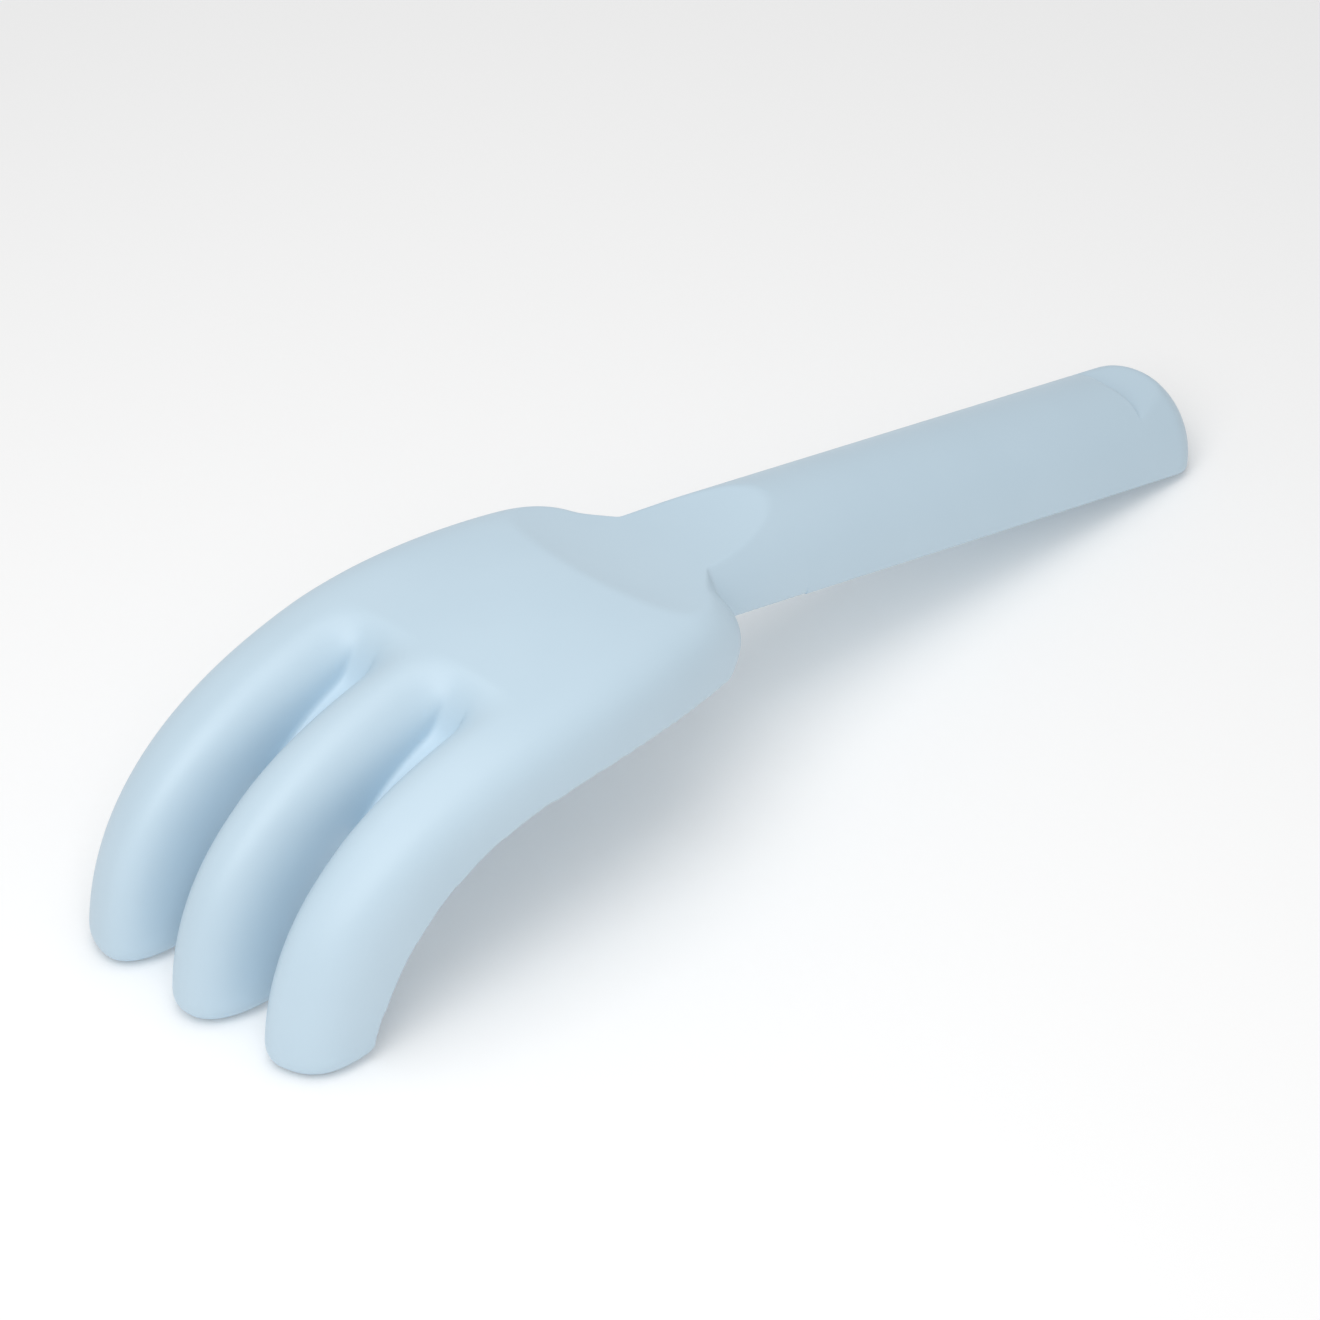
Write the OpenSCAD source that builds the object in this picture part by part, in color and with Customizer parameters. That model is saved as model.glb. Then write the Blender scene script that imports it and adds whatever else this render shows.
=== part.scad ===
// Sand rake for a small child: a moulded head with three tines, a hollow half-round handle and an end cap.
// X runs from the tine fronts (-) to the handle's end (+), Y across, Z up from the floor it rests on.

/* [Overall] */
// Length from the tine fronts to the handle's end
rake_len = 209.3; // [195:0.1:230]
// Wall of the moulded shells
wall = 2.4; // [1.8:0.1:2.8]
// Gap left all round between plugged pieces
fit_gap = 0.15; // [0.05:0.05:0.3]

/* [Head seen from the side] */
// Length of the head, from the tine fronts to the rear edge of the palm's rim
head_len = 97.7; // [93:0.1:101]
// Drop of the palm's rim below the handle's underside at the neck
rim_drop = 3.4; // [2:0.1:4]
// Rise of the rim as it leaves the rear edge, in degrees
rim_rise = 8; // [4:0.5:11]
// Reach of the rim's curve from the rear edge
rim_rear_reach = 29.6; // [25:0.1:35]
// Reach of the rim's curve from the tine tips
rim_tip_reach = 39.3; // [33:0.1:44]
// Backward lean of the tines' back edges at the tips, in degrees
back_lean = 20.4; // [12:0.1:28]
// Depth of a tine at its tip, front to back
tip_depth = 14; // [11:0.25:15]
// Radius of the lower edges of the tine tips
tip_round = 3.3; // [3:0.1:4.5]
// Overhang of the crown's rear end behind the rim
crown_overhang = 7; // [4:0.5:8]
// Drop of the crown's rear end below the handle's crown
crown_dip = 1.8; // [1:0.1:2.4]
// Rise of the crown as it leaves its rear end, in degrees
crown_rise = 16; // [13:0.5:19]
// Reach of the crown's curve from the neck
crown_rear_reach = 23.9; // [20:0.1:28]
// Reach of the crown's curve from the tine tips
crown_tip_reach = 48.3; // [43:0.1:54]

/* [Head seen from above] */
// Width of the palm near its rear edge, before its corners are rounded
palm_rear_w = 39.6; // [37:0.1:44]
// Width over the knuckles
knuckle_w = 56.5; // [53:0.5:60]
// Width over the tine tips
tip_w = 52.9; // [50:0.1:57]
// Distance from the tips to the knuckles, measured over the crown
knuckle_run = 66; // [60:1:72]
// Corner radius of the palm's rear edge
palm_corner_r = 9; // [7:0.2:11]
// Distance between the centre lines of the two slots
tine_pitch = 18.9; // [17.5:0.1:20.5]
// Width of the open slots between the tines
slot_w = 4.5; // [4:0.1:5.4]
// Length of the open slots, measured over the crown
slot_run = 31; // [26:1:36]
// Length of the closed valley above each slot
valley_run = 38; // [34:1:42]
// Length of the steep wall at the valley's upper end
valley_wall_run = 12; // [8:0.5:15]
// Share of the section's depth that the steep wall drops
valley_wall_drop = 0.5; // [0.35:0.05:0.6]

/* [Head surface] */
// Width of the roll-over along the sides of the head
side_roll = 11.4; // [9:0.1:13]
// Squareness of the side roll-over
side_power = 3.4; // [2.2:0.1:3.6]
// Squareness of the roll-over into the slots
slot_power = 2.3; // [2:0.1:3]
// Width of the roll-over at the palm's rear shoulders
shoulder_roll = 23.3; // [18:0.1:28]
// Width of the roll-over at the palm's rear edge on the centre line
neck_roll = 8; // [6:0.5:12]
// Width of the slope on each side of the neck, between the handle's crown and the shoulders
neck_slope_w = 8.5; // [6:0.5:11]
// Share of the section's height that the crown loses at the sides
crown_fall = 0.16; // [0.1:0.01:0.22]

/* [Handle] */
// Slope of the handle down to its end, in degrees
handle_tilt = 13.8; // [12:0.1:15]
// Radius of the half-round handle
handle_r = 12.4; // [11.6:0.1:13.4]
// Wall of the hollow handle
handle_wall = 3; // [2.4:0.1:3.2]

/* [Neck joint] */
// Length of the solid neck from its seat to the palm's rear edge, along the underside
neck_len = 21.06; // [20.56:0.02:24]
// How far the solid neck runs on under the palm
neck_lap = 5.94; // [4:0.02:8]
// Width of the handle's tang
tang_w = 16; // [13:0.5:17]
// Height of the handle's tang
tang_h = 4; // [3:0.1:4.4]
// Length of the handle's tang
tang_len = 22; // [18:0.5:23]
// Height of the tang's underside above the handle's underside
tang_lift = 1.8; // [1.5:0.1:2.1]
// Diameter of the snap lug under the tang
lug_d = 5; // [4:0.25:7]

/* [Thumb dish] */
// Distance from the seat to the dish's rim on the crown, along the underside
dish_rim_lead = 0.7; // [0.6:0.1:4]
// Length of the dish along X
dish_len = 40; // [34:0.5:42]
// Radius of the cylinder that the dish is part of
dish_r = 86; // [80:1:120]

/* [End cap] */
// Length of the cap that shows
cap_len = 12.4; // [12:0.1:15]
// Radius of the cap's rear edge
cap_edge_r = 5.5; // [4:0.1:6]
// Height of the scoop's floor at the seam
scoop_h = 9.5; // [9.4:0.1:10.5]
// Rise of the scoop's floor towards the end, in degrees
scoop_rise = 14; // [8:0.5:16]
// Radius of the handle's edge above the scoop
scoop_lip_r = 1.4; // [0.8:0.1:1.6]
// Length of the plug inside the handle
plug_len = 10; // [6:0.5:16]
// Wall of the hollow plug
plug_wall = 1.2; // [1:0.1:1.4]

/* [Hidden] */
plastic = [0.77, 0.86, 0.92];
// Overlap that makes sure of clean unions and cuts
eps = 0.02;

// Surface steps: points across a tine, rows on the rear roll, the palm, the knuckles, the tines and the tips
tine_cols = 11;
rear_rows = 9;
palm_rows = 5;
knuckle_rows = 14;
tine_rows = 7;
tip_rows = 4;
length_steps = 60;

// Handle line: its underside meets the floor at handle_x, with the cap's rear bulge inside rake_len
end_bulge = (handle_r - cap_edge_r) * sin(handle_tilt) + cap_edge_r * (1 - cos(handle_tilt));
handle_x = rake_len / 2 - end_bulge;
front_x = -rake_len / 2;
neck_x = front_x + head_len;
function under_z(x) = (handle_x - x) * tan(handle_tilt);
function crown_z(x) = under_z(x) + handle_r / cos(handle_tilt);

// Stations along the underside, from the handle's end: the seat on the neck and the dish's rim
seat_p = (handle_x - neck_x) / cos(handle_tilt) - neck_len;
stub_len = neck_len + neck_lap;
dish_rim_p = seat_p + dish_rim_lead;

// The snap lug sits halfway along the tang and ends flush with the socket's floor
lug_p = seat_p + tang_len / 2;

// Side curves of the head: control points of the rim and of the crown, from the rear to the tips
rim_rear = [neck_x, under_z(neck_x) - rim_drop];
rim_tip = [front_x + tip_depth, tip_round];
rim_pts = [
    rim_rear,
    rim_rear + rim_rear_reach * [-cos(rim_rise), sin(rim_rise)],
    rim_tip + rim_tip_reach * [sin(back_lean), cos(back_lean)],
    rim_tip
];
crown_rear_x = neck_x + crown_overhang;
crown_rear = [crown_rear_x, crown_z(crown_rear_x) - crown_dip];
crown_tip = [front_x, tip_round];
crown_pts = [
    crown_rear,
    crown_rear + crown_rear_reach * [-cos(crown_rise), sin(crown_rise)],
    crown_tip + [0, crown_tip_reach],
    crown_tip
];
function bezier(p, t) =
    pow(1 - t, 3) * p[0] + 3 * pow(1 - t, 2) * t * p[1] + 3 * (1 - t) * t * t * p[2] + pow(t, 3) * p[3];
function sum(list, i = 0) = i < len(list) ? list[i] + sum(list, i + 1) : 0;
head_run = sum([
    for (k = [1 : length_steps])
        norm(bezier(crown_pts, k / length_steps) - bezier(crown_pts, (k - 1) / length_steps))
]);
slot_s = 1 - slot_run / head_run;
knuckle_s = 1 - knuckle_run / head_run;

// Thumb dish: a cylinder lying across the neck, through its rim on the handle's crown
// and a point on the palm's crown
function crown_t(x, lo = 0, hi = 1, steps = 30) =
    steps == 0 ? (lo + hi) / 2
    : bezier(crown_pts, (lo + hi) / 2)[0] > x
    ? crown_t(x, (lo + hi) / 2, hi, steps - 1)
    : crown_t(x, lo, (lo + hi) / 2, steps - 1);
dish_rim = [
    handle_x - dish_rim_p * cos(handle_tilt) + handle_r * sin(handle_tilt),
    dish_rim_p * sin(handle_tilt) + handle_r * cos(handle_tilt)
];
dish_front = bezier(crown_pts, crown_t(dish_rim[0] - dish_len));
dish_chord = dish_rim - dish_front;
dish_half = norm(dish_chord) / 2;
dish_centre = (dish_rim + dish_front) / 2
    + sqrt(dish_r * dish_r - dish_half * dish_half) * [-dish_chord[1], dish_chord[0]] / norm(dish_chord);
function dish_z(x) =
    let (a = min(abs(x - dish_centre[0]), dish_r))
    dish_centre[1] - sqrt(dish_r * dish_r - a * a);

// Roll-over from an edge: 0 at the edge with an upright start, 1 from one roll width inwards
function clamp01(u) = min(max(u, 0), 1);
function roll(u, power) = pow(1 - pow(1 - clamp01(u), power), 1 / power);
function ease(u) = clamp01(u) * clamp01(u) * (3 - 2 * clamp01(u));

// Half width of the head at s, and its plan outline with the rear corners rounded; inset moves it inwards
function half_w(s) =
    s < knuckle_s
    ? (palm_rear_w + (knuckle_w - palm_rear_w) * sin(90 * s / knuckle_s)) / 2
    : (knuckle_w + (tip_w - knuckle_w) * (s - knuckle_s) / (1 - knuckle_s)) / 2;
function plan_w(s, inset) =
    let (r = palm_corner_r - inset, l = min(s * head_run - inset, r))
    half_w(s) - inset - r + sqrt(max(r * r - (r - l) * (r - l), 0));

// Half width of the middle tine
function tine_half(inset) = (tine_pitch - slot_w) / 2 - inset;

// Rows from the rear edge to the start of the tips, closest together where the surface turns down
function rear_s(inset) = inset / head_run;
// The inner skin begins each slot earlier, so the valley floors keep their thickness
slot_lead = 1.5;
function slot_start(inset) = slot_s - slot_lead * inset / head_run;
function row_s(i, inset) =
    let (
        a = rear_s(inset),
        b = shoulder_roll / head_run,
        d = slot_start(inset),
        c = d - valley_run / head_run
    )
    i < rear_rows ? a + (b - a) * (1 - cos(90 * i / rear_rows))
    : i < knuckle_row ? b + (c - b) * (i - rear_rows) / palm_rows
    : i < slot_row ? c + (d - c) * (i - knuckle_row) / knuckle_rows
    : d + (1 - d) * (i - slot_row) / tine_rows;
knuckle_row = rear_rows + palm_rows;
slot_row = knuckle_row + knuckle_rows;
last_row = slot_row + tine_rows;
end_row = last_row + tip_rows;
cols = 3 * tine_cols;

// Place across the head of column j, as the near, middle or far tine's own share
function tine_edges(k, s, inset) =
    let (w = half_w(s) - inset, inner = tine_half(inset), outer = (tine_pitch + slot_w) / 2 + inset)
    k == 0 ? [-w, -outer] : k == 1 ? [-inner, inner] : [outer, w];
function col_y(j, s, inset) =
    let (
        k = floor(j / tine_cols),
        u = (1 - cos(180 * (j % tine_cols) / (tine_cols - 1))) / 2,
        e = tine_edges(k, s, inset)
    )
    (e[0] + (e[1] - e[0]) * u) * plan_w(s, inset) / (half_w(s) - inset);

// Height of the surface above the rim, as a share of the section's depth
function rear_roll(y) =
    neck_roll + (shoulder_roll - neck_roll) * ease((abs(y) - handle_r / 2) / neck_slope_w);

// Floor of the valley between two tines: 1 is level with the palm, 0 is open
function valley_floor(s, inset) =
    let (run = valley_run - (slot_start(inset) - s) * head_run)
    (1 - valley_wall_drop * ease(run / valley_wall_run)) * (1 - clamp01(run / valley_run));
function valley(y, s, inset) =
    let (
        across = abs(abs(y) - tine_pitch / 2),
        floor_f = valley_floor(s, inset),
        soft = pow(sin(90 * clamp01(2 * across / tine_pitch)), 2),
        firm = roll((across - slot_w / 2 - inset) / tine_half(inset), slot_power),
        blend = ease(1 - floor_f)
    )
    floor_f + (1 - floor_f) * ((1 - blend) * soft + blend * firm);
function height(y, s, inset) =
    roll((plan_w(s, inset) - abs(y)) / (side_roll - inset), side_power)
    * roll((s * head_run - inset) / (rear_roll(y) - inset), 2)
    * valley(y, s, inset)
    * (1 - crown_fall * pow(y / (half_w(s) - inset), 2));
function top_point(y, s, inset) =
    let (
        r = bezier(rim_pts, s),
        c = bezier(crown_pts, s),
        p = r + height(y, s, inset) * (norm(c - r) - inset) * (c - r) / norm(c - r)
    )
    [p[0], y, inset > 0 ? min(p[1], dish_z(p[0]) - inset) : p[1]];

// The tips close in rings that draw in round their lower edges, down to the floor or to one wall above it
function tip_point(j, ring, inset) =
    let (
        e = tine_edges(floor(j / tine_cols), 1, inset),
        p = top_point(col_y(j, 1, inset), 1, inset),
        mid = [(rim_tip[0] + crown_tip[0] + inset) / 2, (e[0] + e[1]) / 2, tip_round],
        r = tip_round - inset,
        a = 90 * ring / tip_rows,
        k = 1 - r * (1 - cos(a)) / ((e[1] - e[0]) / 2),
        q = mid + k * (p - mid)
    )
    [q[0], q[1], inset + r * (1 - sin(a))];
function shell_point(i, j, inset) =
    let (s = row_s(min(i, last_row), inset))
    i <= last_row ? top_point(col_y(j, s, inset), s, inset) : tip_point(j, i - last_row, inset);

// Head shell: an outer and an inner skin with the same rows and columns, joined along every rim
module head_shell() {
    per_skin = (end_row + 1) * cols;
    function at(skin, i, j) = skin * per_skin + i * cols + j;
    function in_slot(i, j) = i >= slot_row && (j + 1) % tine_cols == 0;
    function quad(a, b, c, d) = [[c, b, a], [d, c, a]];
    function skin_quad(skin, i, j) =
        skin == 0
        ? quad(at(0, i, j), at(0, i, j + 1), at(0, i + 1, j + 1), at(0, i + 1, j))
        : quad(at(1, i, j), at(1, i + 1, j), at(1, i + 1, j + 1), at(1, i, j + 1));
    function rim_quad(i0, j0, i1, j1) = quad(at(0, i0, j0), at(1, i0, j0), at(1, i1, j1), at(0, i1, j1));
    function tip_cap(skin, k) =
        let (ring = [for (j = [0 : tine_cols - 1]) at(skin, end_row, k * tine_cols + j)])
        skin == 1 ? ring : [for (j = [tine_cols - 1 : -1 : 0]) ring[j]];
    skins = [
        for (skin = [0, 1], i = [0 : end_row - 1], j = [0 : cols - 2])
            if (!in_slot(i, j)) each skin_quad(skin, i, j)
    ];
    caps = [for (skin = [0, 1], k = [0 : 2]) tip_cap(skin, k)];
    rear_rim = [for (j = [0 : cols - 2]) each rim_quad(0, j, 0, j + 1)];
    side_rims = [
        for (i = [0 : end_row - 1])
            each concat(rim_quad(i + 1, 0, i, 0), rim_quad(i, cols - 1, i + 1, cols - 1))
    ];
    slot_rims = [
        for (k = [1, 2], i = [slot_row : end_row - 1])
            each concat(
                rim_quad(i, k * tine_cols - 1, i + 1, k * tine_cols - 1),
                rim_quad(i + 1, k * tine_cols, i, k * tine_cols)
            )
    ];
    slot_ends = [for (k = [1, 2]) each rim_quad(slot_row, k * tine_cols, slot_row, k * tine_cols - 1)];
    tip_backs = [
        for (k = [0 : 2]) each rim_quad(end_row, (k + 1) * tine_cols - 1, end_row, k * tine_cols)
    ];
    polyhedron(
        points = [for (skin = [0, 1], i = [0 : end_row], j = [0 : cols - 1]) shell_point(i, j, skin * wall)],
        faces = concat(skins, caps, rear_rim, side_rims, slot_rims, slot_ends, tip_backs)
    );
}

// Handle frame: x along the underside from the end towards the head, z up out of the handle
module along_handle() {
    translate([handle_x, 0, 0]) rotate([0, handle_tilt, 0]) rotate([0, 0, 180]) children();
}

// Extrudes a section, drawn across and up, from station p0 to station p1
module run_along(p0, p1) {
    translate([p0, 0, 0]) rotate([90, 0, 90]) linear_extrude(p1 - p0) children();
}

// Half-round section with a flat underside
module grip_section(inset = 0) {
    intersection() {
        circle(handle_r - inset, $fn = 128);
        translate([-handle_r, inset]) square([2 * handle_r, handle_r]);
    }
}

module tang_section(gap = 0) {
    translate([-tang_w / 2 - gap, tang_lift - gap]) square([tang_w + 2 * gap, tang_h + 2 * gap]);
}

module rake_head() {
    color(plastic) difference() {
        union() {
            head_shell();
            along_handle() run_along(seat_p, seat_p + stub_len) grip_section();
        }
        along_handle() {
            run_along(seat_p - eps, seat_p + tang_len + fit_gap) tang_section(fit_gap);
            translate([lug_p, 0, -eps]) cylinder(d = lug_d + 2 * fit_gap, h = tang_lift + eps, $fn = 48);
        }
        translate([dish_centre[0], 0, dish_centre[1]])
            rotate([90, 0, 0]) cylinder(r = dish_r, h = knuckle_w, center = true, $fn = 360);
    }
}

// Draws a side profile, along and up, right across the handle
module across_handle() {
    translate([0, handle_r + eps, 0]) rotate([90, 0, 0]) linear_extrude(2 * (handle_r + eps)) children();
}

module handle_shell() {
    color(plastic) along_handle() {
        difference() {
            run_along(cap_len, seat_p) grip_section();
            run_along(cap_len - eps, seat_p - handle_wall) grip_section(handle_wall);
            across_handle() difference() {
                translate([cap_len - eps, handle_r - scoop_lip_r]) square(scoop_lip_r + eps);
                translate([cap_len + scoop_lip_r, handle_r - scoop_lip_r]) circle(scoop_lip_r, $fn = 48);
            }
        }
        run_along(seat_p - eps, seat_p + tang_len) tang_section();
        translate([lug_p, 0, 0]) cylinder(d = lug_d, h = tang_lift + eps, $fn = 48);
    }
}

// Half of the cap's outline, drawn outwards from the turning axis and along it
module cap_outline() {
    intersection() {
        square([handle_r, cap_len]);
        union() {
            square([max(handle_r - cap_edge_r, eps), cap_len]);
            translate([0, cap_edge_r]) square([handle_r, cap_len - cap_edge_r]);
            translate([handle_r - cap_edge_r, cap_edge_r]) circle(cap_edge_r, $fn = 64);
        }
    }
}

// Space above the scoop's floor
module scoop_space() {
    end_h = scoop_h + (cap_len + eps) * tan(scoop_rise);
    polygon([[-eps, end_h], [cap_len + eps, scoop_h], [cap_len + eps, 2 * handle_r], [-eps, 2 * handle_r]]);
}

module handle_end_cap() {
    color(plastic) along_handle() difference() {
        union() {
            difference() {
                intersection() {
                    rotate([0, 90, 0]) rotate_extrude($fn = 128) cap_outline();
                    translate([0, -handle_r, 0]) cube([cap_len, 2 * handle_r, handle_r]);
                }
                across_handle() scoop_space();
            }
            run_along(cap_len - eps, cap_len + plug_len) grip_section(handle_wall + fit_gap);
        }
        run_along(cap_edge_r + wall, cap_len + plug_len + eps)
            grip_section(handle_wall + fit_gap + plug_wall);
    }
}

rake_head();
handle_shell();
handle_end_cap();
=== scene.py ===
import math

import bmesh
import bpy
import numpy as np
from mathutils import Matrix, Vector


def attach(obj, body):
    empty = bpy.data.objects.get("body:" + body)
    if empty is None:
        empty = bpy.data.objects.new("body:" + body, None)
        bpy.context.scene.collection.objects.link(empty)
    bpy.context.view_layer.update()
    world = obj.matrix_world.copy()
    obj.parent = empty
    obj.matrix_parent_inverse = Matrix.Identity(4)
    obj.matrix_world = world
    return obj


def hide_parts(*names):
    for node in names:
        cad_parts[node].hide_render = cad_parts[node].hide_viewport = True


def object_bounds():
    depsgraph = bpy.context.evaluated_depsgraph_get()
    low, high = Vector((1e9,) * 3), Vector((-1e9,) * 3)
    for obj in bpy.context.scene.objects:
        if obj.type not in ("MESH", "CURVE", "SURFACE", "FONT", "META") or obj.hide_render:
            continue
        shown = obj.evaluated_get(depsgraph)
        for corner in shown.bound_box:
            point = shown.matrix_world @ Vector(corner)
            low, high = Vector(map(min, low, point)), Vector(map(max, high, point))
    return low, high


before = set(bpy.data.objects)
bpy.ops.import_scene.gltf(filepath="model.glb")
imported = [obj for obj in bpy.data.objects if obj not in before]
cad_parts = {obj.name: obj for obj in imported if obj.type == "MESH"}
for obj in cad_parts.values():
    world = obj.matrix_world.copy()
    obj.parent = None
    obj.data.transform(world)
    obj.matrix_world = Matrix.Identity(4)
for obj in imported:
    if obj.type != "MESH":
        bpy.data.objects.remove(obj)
cad_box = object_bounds()

MM = 0.001

# Sizes shared with the CAD source
RAKE_LEN = 209.3
WALL = 2.4
HEAD_LEN = 97.7
RIM_DROP = 3.4
RIM_RISE = math.radians(8.0)
RIM_REAR_REACH = 29.6
RIM_TIP_REACH = 39.3
BACK_LEAN = math.radians(20.4)
TIP_DEPTH = 14.0
TIP_ROUND = 3.3
CROWN_OVERHANG = 7.0
CROWN_DIP = 1.8
CROWN_RISE = math.radians(16.0)
CROWN_REAR_REACH = 23.9
CROWN_TIP_REACH = 48.3
PALM_REAR_W = 39.6
KNUCKLE_W = 56.5
TIP_W = 52.9
KNUCKLE_RUN = 66.0
PALM_CORNER_R = 9.0
TINES = 3
TINE_PITCH = 18.9
SLOT_W = 4.5
SLOT_RUN = 31.0
SLOT_LEAD = 1.5
VALLEY_RUN = 38.0
VALLEY_WALL_RUN = 12.0
VALLEY_WALL_DROP = 0.5
SIDE_ROLL = 11.4
SIDE_POWER = 3.4
SLOT_POWER = 2.3
SHOULDER_ROLL = 23.3
NECK_ROLL = 8.0
NECK_SLOPE_W = 8.5
CROWN_FALL = 0.16
HANDLE_TILT = math.radians(13.8)
HANDLE_R = 12.4
SEAT_RUN = 92.0
STUB_RUN = 119.0
DISH_RIM_RUN = 92.7
DISH_LEN = 40.0
DISH_R = 86.0
CAP_LEN = 12.4
CAP_EDGE_R = 5.5
SCOOP_H = 9.5
SCOOP_RISE = math.radians(14.0)
SCOOP_LIP_R = 1.4

# Places worked out from the sizes
TILT_COS = math.cos(HANDLE_TILT)
TILT_SIN = math.sin(HANDLE_TILT)
END_BULGE = (HANDLE_R - CAP_EDGE_R) * TILT_SIN + CAP_EDGE_R * (1 - TILT_COS)
HANDLE_X = RAKE_LEN / 2 - END_BULGE
FRONT_X = -RAKE_LEN / 2
NECK_X = FRONT_X + HEAD_LEN


# Handle frame: p along the underside from the end towards the head, up is out of the crown
def handle_point(p, y, up):
    p, y, up = np.broadcast_arrays(np.asarray(p, float), np.asarray(y, float), np.asarray(up, float))
    x = HANDLE_X - p * TILT_COS + up * TILT_SIN
    z = p * TILT_SIN + up * TILT_COS
    return np.stack([x, y, z], axis=-1)


def under_z(x):
    return (HANDLE_X - x) * math.tan(HANDLE_TILT)


def crown_z(x):
    return under_z(x) + HANDLE_R / TILT_COS


# Side curves of the head
def forward_up(angle):
    return np.array([-math.cos(angle), math.sin(angle)])


RIM_REAR = np.array([NECK_X, under_z(NECK_X) - RIM_DROP])
RIM_TIP = np.array([FRONT_X + TIP_DEPTH, TIP_ROUND])
RIM_PTS = np.array([
    RIM_REAR,
    RIM_REAR + RIM_REAR_REACH * forward_up(RIM_RISE),
    RIM_TIP + RIM_TIP_REACH * np.array([math.sin(BACK_LEAN), math.cos(BACK_LEAN)]),
    RIM_TIP,
])
CROWN_REAR_X = NECK_X + CROWN_OVERHANG
CROWN_REAR = np.array([CROWN_REAR_X, crown_z(CROWN_REAR_X) - CROWN_DIP])
CROWN_TIP = np.array([FRONT_X, TIP_ROUND])
CROWN_PTS = np.array([
    CROWN_REAR,
    CROWN_REAR + CROWN_REAR_REACH * forward_up(CROWN_RISE),
    CROWN_TIP + np.array([0.0, CROWN_TIP_REACH]),
    CROWN_TIP,
])


def bezier(points, t):
    t = np.asarray(t, float)[..., None]
    return (
        (1 - t) ** 3 * points[0]
        + 3 * (1 - t) ** 2 * t * points[1]
        + 3 * (1 - t) * t * t * points[2]
        + t ** 3 * points[3]
    )


LENGTH_STEPS = 60


def curve_length(points):
    line = bezier(points, np.linspace(0, 1, LENGTH_STEPS + 1))
    return float(np.linalg.norm(np.diff(line, axis=0), axis=1).sum())


HEAD_RUN = curve_length(CROWN_PTS)
SLOT_S = 1 - SLOT_RUN / HEAD_RUN
KNUCKLE_S = 1 - KNUCKLE_RUN / HEAD_RUN


# Roll-over from an edge: 0 at the edge with an upright start, 1 from one roll width inwards
def roll(u, power):
    return (1 - (1 - np.clip(u, 0, 1)) ** power) ** (1 / power)


def ease(u):
    u = np.clip(u, 0, 1)
    return u * u * (3 - 2 * u)


def half_w(s):
    palm = PALM_REAR_W + (KNUCKLE_W - PALM_REAR_W) * np.sin(0.5 * np.pi * np.clip(s / KNUCKLE_S, 0, 1))
    tines = KNUCKLE_W + (TIP_W - KNUCKLE_W) * (s - KNUCKLE_S) / (1 - KNUCKLE_S)
    return np.where(s < KNUCKLE_S, palm, tines) / 2


def plan_w(s, inset):
    r = PALM_CORNER_R - inset
    run = np.minimum(s * HEAD_RUN - inset, r)
    return half_w(s) - inset - r + np.sqrt(np.maximum(r * r - (r - run) ** 2, 0))


def tine_half(inset):
    return (TINE_PITCH - SLOT_W) / 2 - inset


def slot_start(inset):
    return SLOT_S - SLOT_LEAD * inset / HEAD_RUN


def rear_roll(y):
    return NECK_ROLL + (SHOULDER_ROLL - NECK_ROLL) * ease((np.abs(y) - HANDLE_R / 2) / NECK_SLOPE_W)


# Floor of the valley between two tines: 1 is level with the palm, 0 is open
def valley_floor(s, inset):
    run = VALLEY_RUN - (slot_start(inset) - s) * HEAD_RUN
    return (1 - VALLEY_WALL_DROP * ease(run / VALLEY_WALL_RUN)) * (1 - np.clip(run / VALLEY_RUN, 0, 1))


def valley(y, s, inset):
    across = np.abs(np.abs(y) - TINE_PITCH / 2)
    floor = valley_floor(s, inset)
    soft = np.sin(0.5 * np.pi * np.clip(across / (TINE_PITCH / 2), 0, 1)) ** 2
    firm = roll((across - SLOT_W / 2 - inset) / tine_half(inset), SLOT_POWER)
    blend = ease(1 - floor)
    return floor + (1 - floor) * ((1 - blend) * soft + blend * firm)


def height(y, s, inset):
    return (
        roll((plan_w(s, inset) - np.abs(y)) / (SIDE_ROLL - inset), SIDE_POWER)
        * roll((s * HEAD_RUN - inset) / (rear_roll(y) - inset), 2)
        * valley(y, s, inset)
        * (1 - CROWN_FALL * (y / (half_w(s) - inset)) ** 2)
    )


def top_point(y, s, inset):
    r = bezier(RIM_PTS, s)
    c = bezier(CROWN_PTS, s)
    depth = np.linalg.norm(c - r, axis=-1, keepdims=True)
    p = r + height(y, s, inset)[..., None] * (depth - inset) * (c - r) / depth
    return np.stack([p[..., 0], y, p[..., 1]], axis=-1)


# Rows and columns of the head's skins
REAR_ROWS = 40
PALM_ROWS = 24
KNUCKLE_ROWS = 40
TINE_ROWS = 80
TIP_ROWS = 12
TINE_COLS = 41
SLOT_COLS = 7
KNUCKLE_ROW = REAR_ROWS + PALM_ROWS
SLOT_ROW = KNUCKLE_ROW + KNUCKLE_ROWS


def rows_s(inset):
    a = inset / HEAD_RUN
    b = SHOULDER_ROLL / HEAD_RUN
    d = slot_start(inset)
    c = d - VALLEY_RUN / HEAD_RUN
    rear = a + (b - a) * (1 - np.cos(0.5 * np.pi * np.arange(REAR_ROWS) / REAR_ROWS))
    palm = b + (c - b) * np.arange(PALM_ROWS) / PALM_ROWS
    knuckle = c + (d - c) * np.arange(KNUCKLE_ROWS) / KNUCKLE_ROWS
    tines = d + (1 - d) * np.arange(TINE_ROWS + 1) / TINE_ROWS
    return np.concatenate([rear, palm, knuckle, tines])


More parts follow.
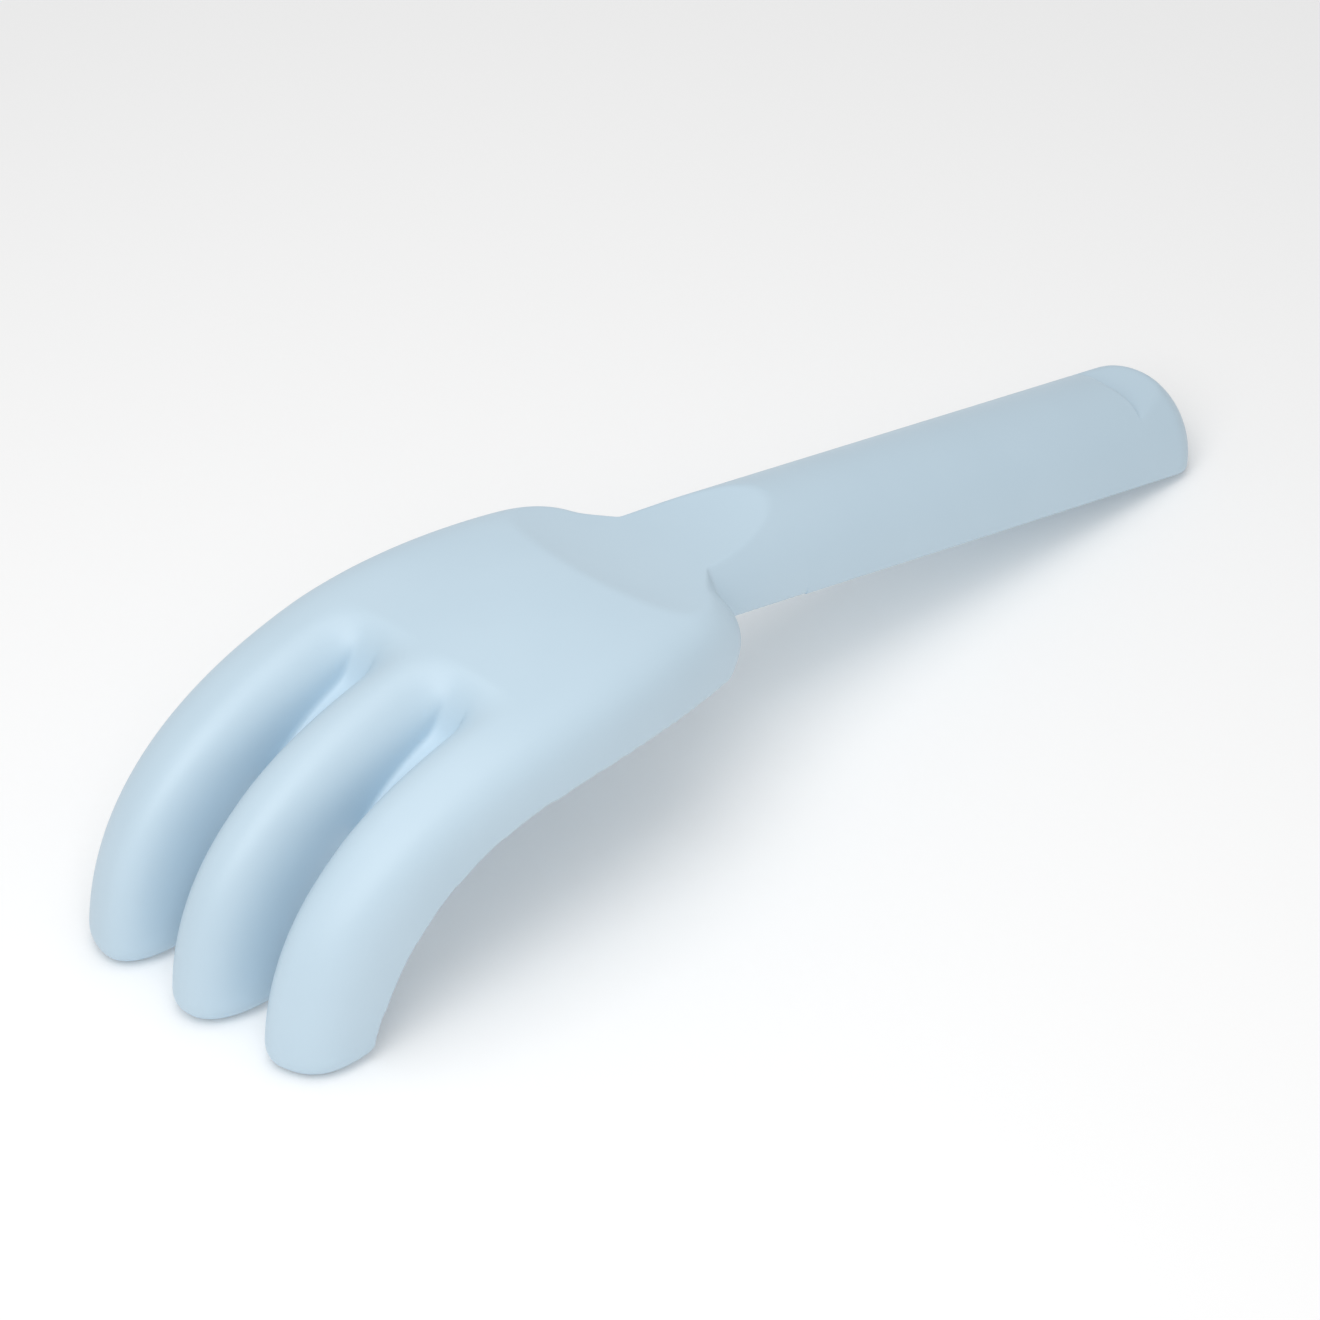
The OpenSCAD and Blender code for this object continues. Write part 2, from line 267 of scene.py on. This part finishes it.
def cols_y(s, inset):
    w = half_w(s) - inset
    inner = tine_half(inset) * np.ones_like(s)
    outer = (TINE_PITCH + SLOT_W) / 2 + inset * np.ones_like(s)
    tine_u = (1 - np.cos(np.pi * np.arange(TINE_COLS) / (TINE_COLS - 1))) / 2
    slot_u = np.arange(1, SLOT_COLS + 1) / (SLOT_COLS + 1)
    spans = [
        (-w, -outer, tine_u),
        (-outer, -inner, slot_u),
        (-inner, inner, tine_u),
        (inner, outer, slot_u),
        (outer, w, tine_u),
    ]
    y = np.concatenate([lo[:, None] + (hi - lo)[:, None] * u for lo, hi, u in spans], axis=1)
    return y * (plan_w(s, inset) / w)[:, None]


def tine_cols(k):
    start = k * (TINE_COLS + SLOT_COLS)
    return np.arange(start, start + TINE_COLS)


def skin(inset):
    s = rows_s(inset)
    y = cols_y(s, inset)
    body = top_point(y, s[:, None] * np.ones_like(y), inset)
    r = TIP_ROUND - inset
    mid_x = (RIM_TIP[0] + CROWN_TIP[0] + inset) / 2
    rings = []
    for ring in range(1, TIP_ROWS + 1):
        turn = 0.5 * np.pi * ring / TIP_ROWS
        row = body[-1].copy()
        for k in range(TINES):
            cols = tine_cols(k)
            tip = body[-1][cols]
            half = (tip[-1, 1] - tip[0, 1]) / 2
            mid = np.array([mid_x, (tip[0, 1] + tip[-1, 1]) / 2, TIP_ROUND])
            drawn = mid + (1 - r * (1 - math.cos(turn)) / half) * (tip - mid)
            drawn[:, 2] = inset + r * (1 - math.sin(turn))
            row[cols] = drawn
        rings.append(row)
    return np.concatenate([body, np.array(rings)], axis=0)


# Collects vertices and faces, and turns them into a mesh object in metres
class Shape:
    def __init__(self):
        self.points = []
        self.faces = []

    def add(self, points):
        start = len(self.points)
        self.points.extend(np.asarray(points, float).reshape(-1, 3).tolist())
        return start

    def loft(self, rings):
        rings = np.asarray(rings, float)
        count, size, _ = rings.shape
        start = self.add(rings)
        for i in range(count - 1):
            for j in range(size):
                a = start + i * size + j
                b = start + i * size + (j + 1) % size
                self.faces.append((a, b, b + size, a + size))
        self.faces.append(tuple(start + j for j in reversed(range(size))))
        self.faces.append(tuple(start + (count - 1) * size + j for j in range(size)))

    def make(self, name):
        mesh = bpy.data.meshes.new(name)
        mesh.from_pydata([[c * MM for c in p] for p in self.points], [], self.faces)
        mesh.validate()
        obj = bpy.data.objects.new(name, mesh)
        bpy.context.scene.collection.objects.link(obj)
        return obj


def head_shell(shape):
    outer = skin(0.0)
    inner = skin(WALL)
    rows, cols, _ = outer.shape
    start_o = shape.add(outer)
    start_i = shape.add(inner)
    slot_cells = set()
    for k in range(1, TINES):
        first = k * (TINE_COLS + SLOT_COLS) - SLOT_COLS - 1
        slot_cells.update(range(first, first + SLOT_COLS + 1))
    for i in range(rows - 1):
        for j in range(cols - 1):
            if i >= SLOT_ROW and j in slot_cells:
                continue
            a, b = i * cols + j, i * cols + j + 1
            c, d = b + cols, a + cols
            shape.faces.append((start_o + a, start_o + d, start_o + c, start_o + b))
            shape.faces.append((start_i + a, start_i + b, start_i + c, start_i + d))

    def rim(pairs):
        for (i0, j0), (i1, j1) in zip(pairs[:-1], pairs[1:]):
            a, b = i0 * cols + j0, i1 * cols + j1
            shape.faces.append((start_o + a, start_o + b, start_i + b, start_i + a))

    end = rows - 1
    edge = [(i, 0) for i in range(end, -1, -1)]
    edge += [(0, j) for j in range(1, cols)]
    edge += [(i, cols - 1) for i in range(1, end + 1)]
    rim(edge)
    for k in range(1, TINES):
        left = k * (TINE_COLS + SLOT_COLS) - SLOT_COLS - 1
        right = k * (TINE_COLS + SLOT_COLS)
        slot = [(i, right) for i in range(end, SLOT_ROW - 1, -1)]
        slot += [(SLOT_ROW, j) for j in range(right - 1, left - 1, -1)]
        slot += [(i, left) for i in range(SLOT_ROW + 1, end + 1)]
        rim(slot)
    last_o = start_o + end * cols
    last_i = start_i + end * cols
    for k in range(TINES):
        c = tine_cols(k)
        shape.faces.append(tuple(last_o + j for j in c[::-1]))
        shape.faces.append(tuple(last_i + j for j in c))
        shape.faces.append((last_o + c[-1], last_o + c[0], last_i + c[0], last_i + c[-1]))


# Closed half-round ring at station p, with eased lower edges
LOW_R = 0.5
LOW_SHARE = 0.4
ARC_STEPS = 96
LOW_STEPS = 5


def half_round(radius):
    low = min(LOW_R, LOW_SHARE * radius)
    start = math.asin(low / radius)
    turn = np.linspace(start, math.pi - start, ARC_STEPS)
    y = radius * np.cos(turn)
    up = radius * np.sin(turn)
    corner = np.linspace(0, 0.5 * math.pi, LOW_STEPS)
    edge_y = y[-1] + low * (1 - np.cos(corner))
    edge_up = low * (1 - np.sin(corner))
    y = np.concatenate([y, edge_y[1:], -edge_y[::-1][:-1]])
    up = np.concatenate([up, edge_up[1:], edge_up[::-1][:-1]])
    return y, up


def ring_at(p):
    y, up = half_round(HANDLE_R)
    return handle_point(p, y, up)


# The head is one moulding: the shell and the neck are fused and their inner corners eased
VOXEL = 0.38
EASE_FACTOR = 0.5
EASE_TURNS = 10
NECK_SPARE = 4.0
NECK_ROWS = 40

head_form = Shape()
head_shell(head_form)
neck = Shape()
neck.loft([ring_at(p) for p in np.linspace(SEAT_RUN - NECK_SPARE, STUB_RUN, NECK_ROWS)])


def fuse(name, sources):
    bpy.ops.object.select_all(action="DESELECT")
    for source in sources:
        source.select_set(True)
    bpy.context.view_layer.objects.active = sources[0]
    bpy.ops.object.join()
    fused = bpy.context.view_layer.objects.active
    fused.name = name
    remesh = fused.modifiers.new("fuse", "REMESH")
    remesh.mode = "VOXEL"
    remesh.voxel_size = VOXEL * MM
    bpy.ops.object.modifier_apply(modifier=remesh.name)
    smooth = fused.modifiers.new("ease", "SMOOTH")
    smooth.factor = EASE_FACTOR
    smooth.iterations = EASE_TURNS
    bpy.ops.object.modifier_apply(modifier=smooth.name)
    return fused


head = fuse("rake_head_moulding", [head_form.make("head_form"), neck.make("neck_form")])

# Thumb dish: part of a wide cylinder lying across the neck, from the handle's crown to the palm
DISH_SOFT = 0.35
DISH_REACH = 6.0
CROWN_STEPS = 400
DISH_RIM = handle_point(DISH_RIM_RUN, 0, HANDLE_R)[[0, 2]]


def crown_at(x):
    line = bezier(CROWN_PTS, np.linspace(0, 1, CROWN_STEPS))
    return float(np.interp(-x, -line[:, 0], line[:, 1]))


DISH_FRONT_X = float(DISH_RIM[0]) - DISH_LEN
DISH_FRONT = np.array([DISH_FRONT_X, crown_at(DISH_FRONT_X)])
DISH_CHORD = DISH_RIM - DISH_FRONT
DISH_HALF = float(np.linalg.norm(DISH_CHORD)) / 2
DISH_UP = np.array([-DISH_CHORD[1], DISH_CHORD[0]]) / (2 * DISH_HALF)
DISH_CENTRE = (DISH_RIM + DISH_FRONT) / 2 + DISH_UP * math.sqrt(DISH_R ** 2 - DISH_HALF ** 2)


def soft_min(a, b, soft):
    h = np.clip(0.5 + 0.5 * (b - a) / soft, 0, 1)
    return b * (1 - h) + a * h - soft * h * (1 - h)


def press_dish(obj):
    mesh = obj.data
    count = len(mesh.vertices)
    co = np.zeros(count * 3)
    mesh.vertices.foreach_get("co", co)
    co = co.reshape(-1, 3) / MM
    normals = np.zeros(count * 3)
    mesh.vertex_normals.foreach_get("vector", normals)
    facing_up = normals.reshape(-1, 3)[:, 2] > 0
    along = np.clip(co[:, 0] - DISH_CENTRE[0], -DISH_R, DISH_R)
    floor = DISH_CENTRE[1] - np.sqrt(DISH_R ** 2 - along ** 2)
    floor = np.where(facing_up, floor, floor - WALL)
    near = np.abs(co[:, 0] - DISH_FRONT_X - DISH_LEN / 2) < DISH_LEN / 2 + DISH_REACH
    lowered = soft_min(co[:, 2], floor, DISH_SOFT)
    co[:, 2] = np.where(near & (co[:, 2] > floor - DISH_SOFT), np.minimum(co[:, 2], lowered), co[:, 2])
    mesh.vertices.foreach_set("co", (co * MM).ravel())
    mesh.update()


press_dish(head)


# The fused skin stays inside the CAD part's box
def keep_inside(obj):
    mesh = obj.data
    co = np.zeros(len(mesh.vertices) * 3)
    mesh.vertices.foreach_get("co", co)
    low, high = np.array(cad_box[0]), np.array(cad_box[1])
    mesh.vertices.foreach_set("co", np.clip(co.reshape(-1, 3), low, high).ravel())
    mesh.update()


keep_inside(head)


# The neck ends in a crisp flat seat
def cut_seat(obj):
    solid = bmesh.new()
    solid.from_mesh(obj.data)
    place = Vector(handle_point(SEAT_RUN, 0, 0) * MM)
    towards_end = Vector((TILT_COS, 0, -TILT_SIN))
    parts = solid.verts[:] + solid.edges[:] + solid.faces[:]
    cut = bmesh.ops.bisect_plane(solid, geom=parts, plane_co=place, plane_no=towards_end, clear_outer=True)
    rim = [item for item in cut["geom_cut"] if isinstance(item, bmesh.types.BMEdge)]
    bmesh.ops.edgeloop_fill(solid, edges=rim)
    bmesh.ops.recalc_face_normals(solid, faces=solid.faces[:])
    solid.to_mesh(obj.data)
    solid.free()


cut_seat(head)

# Scoop in the crown at the handle's end: the grip's edge rolls down, and the floor rises to the end
SCOOP_SOFT = 0.5
JUST_INSIDE = 1e-6


def scoop_top(p):
    p = np.asarray(p, float)
    floor = SCOOP_H + (CAP_LEN - p) * math.tan(SCOOP_RISE)
    into_lip = np.clip(CAP_LEN + SCOOP_LIP_R - p, 0, SCOOP_LIP_R)
    lip = HANDLE_R - SCOOP_LIP_R + np.sqrt(SCOOP_LIP_R ** 2 - into_lip ** 2)
    return np.where(p < CAP_LEN, floor, lip)


# Grip of the handle
GRIP_ROWS = 50
LIP_ROWS = 10
grip = Shape()
lip_p = CAP_LEN + SCOOP_LIP_R * np.linspace(0, 1, LIP_ROWS) ** 2
grip_p = np.concatenate([lip_p, np.linspace(CAP_LEN + SCOOP_LIP_R, SEAT_RUN, GRIP_ROWS)[1:]])
full_y, full_up = half_round(HANDLE_R)
grip.loft([handle_point(p, full_y, np.minimum(full_up, scoop_top(p))) for p in grip_p])
grip_obj = grip.make("handle_grip")

# End cap: turned about the handle's underside, with a rounded edge and the scoop's floor
CAP_ROWS = 48
cap = Shape()
cap_p = CAP_LEN * (1 - np.sin(0.5 * math.pi * np.linspace(0, 1, CAP_ROWS)))
cap_rings = []
for p in cap_p:
    into_edge = CAP_EDGE_R - min(p, CAP_EDGE_R)
    radius = HANDLE_R - CAP_EDGE_R + math.sqrt(CAP_EDGE_R ** 2 - into_edge ** 2)
    y, up = half_round(radius)
    floor = scoop_top(min(p, CAP_LEN - JUST_INSIDE))
    cap_rings.append(handle_point(p, y, np.minimum(up, soft_min(up, floor, SCOOP_SOFT))))
cap.loft(cap_rings)
cap_obj = cap.make("handle_cap")

SHARP_ANGLE = math.radians(40)
for obj in (head, grip_obj, cap_obj):
    obj.data.shade_smooth()
    obj.data.set_sharp_from_angle(angle=SHARP_ANGLE)


# Moulded plastic: faint clouds in the colour, a fine grain in the gloss and in the surface
CLOUD_SCALE = 45
CLOUD_DETAIL = 3
CLOUD_TONES = ((0.3, (0.545, 0.69, 0.795, 1)), (0.7, (0.565, 0.71, 0.815, 1)))
GRAIN_SCALE = 1400
GRAIN_DETAIL = 4
ROUGH_LOW = 0.36
ROUGH_HIGH = 0.48
BUMP_STRENGTH = 0.15
BUMP_DEPTH = 0.00005


def plastic(name):
    mat = bpy.data.materials.new(name)
    mat.use_nodes = True
    nodes, links = mat.node_tree.nodes, mat.node_tree.links
    shader = nodes["Principled BSDF"]
    coords = nodes.new("ShaderNodeTexCoord")
    cloud = nodes.new("ShaderNodeTexNoise")
    cloud.inputs["Scale"].default_value = CLOUD_SCALE
    cloud.inputs["Detail"].default_value = CLOUD_DETAIL
    links.new(coords.outputs["Object"], cloud.inputs["Vector"])
    ramp = nodes.new("ShaderNodeValToRGB")
    for stop, (place, tone) in zip(ramp.color_ramp.elements, CLOUD_TONES):
        stop.position = place
        stop.color = tone
    links.new(cloud.outputs["Fac"], ramp.inputs["Fac"])
    links.new(ramp.outputs["Color"], shader.inputs["Base Color"])
    grain = nodes.new("ShaderNodeTexNoise")
    grain.inputs["Scale"].default_value = GRAIN_SCALE
    grain.inputs["Detail"].default_value = GRAIN_DETAIL
    links.new(coords.outputs["Object"], grain.inputs["Vector"])
    gloss = nodes.new("ShaderNodeMapRange")
    gloss.inputs["To Min"].default_value = ROUGH_LOW
    gloss.inputs["To Max"].default_value = ROUGH_HIGH
    links.new(grain.outputs["Fac"], gloss.inputs["Value"])
    links.new(gloss.outputs["Result"], shader.inputs["Roughness"])
    bump = nodes.new("ShaderNodeBump")
    bump.inputs["Strength"].default_value = BUMP_STRENGTH
    bump.inputs["Distance"].default_value = BUMP_DEPTH
    links.new(grain.outputs["Fac"], bump.inputs["Height"])
    links.new(bump.outputs["Normal"], shader.inputs["Normal"])
    return mat


skin_mat = plastic("moulded_plastic")
for obj, node in ((head, "rake_head"), (grip_obj, "handle_shell"), (cap_obj, "handle_end_cap")):
    obj.data.materials.clear()
    obj.data.materials.append(skin_mat)
    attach(obj, "root")
    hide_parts(node)

# Stage: pale floor, soft light and the photograph's camera
FLOOR_HALF = 6.0
FLOOR_Z = -0.0002
FLOOR_BASE = 0.92
FLOOR_GLOW = 0.1
FLOOR_ROUGHNESS = 0.9
floor_mesh = bpy.data.meshes.new("floor")
floor_corners = [(x * FLOOR_HALF, y * FLOOR_HALF, 0) for x, y in ((-1, -1), (1, -1), (1, 1), (-1, 1))]
floor_mesh.from_pydata(floor_corners, [], [(0, 1, 2, 3)])
floor = bpy.data.objects.new("floor", floor_mesh)
floor.location.z = FLOOR_Z
bpy.context.scene.collection.objects.link(floor)
floor_mat = bpy.data.materials.new("pale_floor")
floor_mat.use_nodes = True
floor_shader = floor_mat.node_tree.nodes["Principled BSDF"]
floor_shader.inputs["Base Color"].default_value = (FLOOR_BASE, FLOOR_BASE, FLOOR_BASE, 1)
floor_shader.inputs["Roughness"].default_value = FLOOR_ROUGHNESS
floor_shader.inputs["Emission Color"].default_value = (1, 1, 1, 1)
floor_shader.inputs["Emission Strength"].default_value = FLOOR_GLOW
floor.data.materials.append(floor_mat)

SKY = 0.5
world = bpy.data.worlds.new("studio")
world.use_nodes = True
world.node_tree.nodes["Background"].inputs["Color"].default_value = (1, 1, 1, 1)
world.node_tree.nodes["Background"].inputs["Strength"].default_value = SKY
bpy.context.scene.world = world


SOFTBOX_SIZE = 0.4


def softbox(name, place, power):
    light = bpy.data.lights.new(name, "AREA")
    light.size = SOFTBOX_SIZE
    light.energy = power
    obj = bpy.data.objects.new(name, light)
    obj.location = place
    obj.rotation_mode = "QUATERNION"
    obj.rotation_quaternion = (-Vector(place)).to_track_quat("-Z", "Y")
    bpy.context.scene.collection.objects.link(obj)


softbox("key", (-0.32, -0.16, 0.42), 1.05)
softbox("top", (-0.04, 0, 0.5), 0.65)

CAM_AZIMUTH = math.radians(-45.52)
CAM_ELEVATION = math.radians(36.66)
CAM_DISTANCE = 1.5374
CAM_TARGET = Vector((-0.00547, 0.0, 0.0133))
CAM_ROLL = math.radians(0.14)
FOCAL_SHARE = 7.72685
SENSOR = 36.0

camera = bpy.data.cameras.new("camera")
camera.sensor_width = SENSOR
camera.lens = FOCAL_SHARE * SENSOR
cam = bpy.data.objects.new("camera", camera)
back = Vector((
    math.sin(CAM_AZIMUTH) * math.cos(CAM_ELEVATION),
    -math.cos(CAM_AZIMUTH) * math.cos(CAM_ELEVATION),
    math.sin(CAM_ELEVATION),
))
cam.rotation_mode = "QUATERNION"
cam.location = CAM_TARGET + back * CAM_DISTANCE
turned = (-back).to_track_quat("-Z", "Y").to_matrix() @ Matrix.Rotation(CAM_ROLL, 3, "Z")
cam.rotation_quaternion = turned.to_quaternion()
bpy.context.scene.collection.objects.link(cam)
bpy.context.scene.camera = cam
bpy.context.scene.view_settings.view_transform = "Standard"
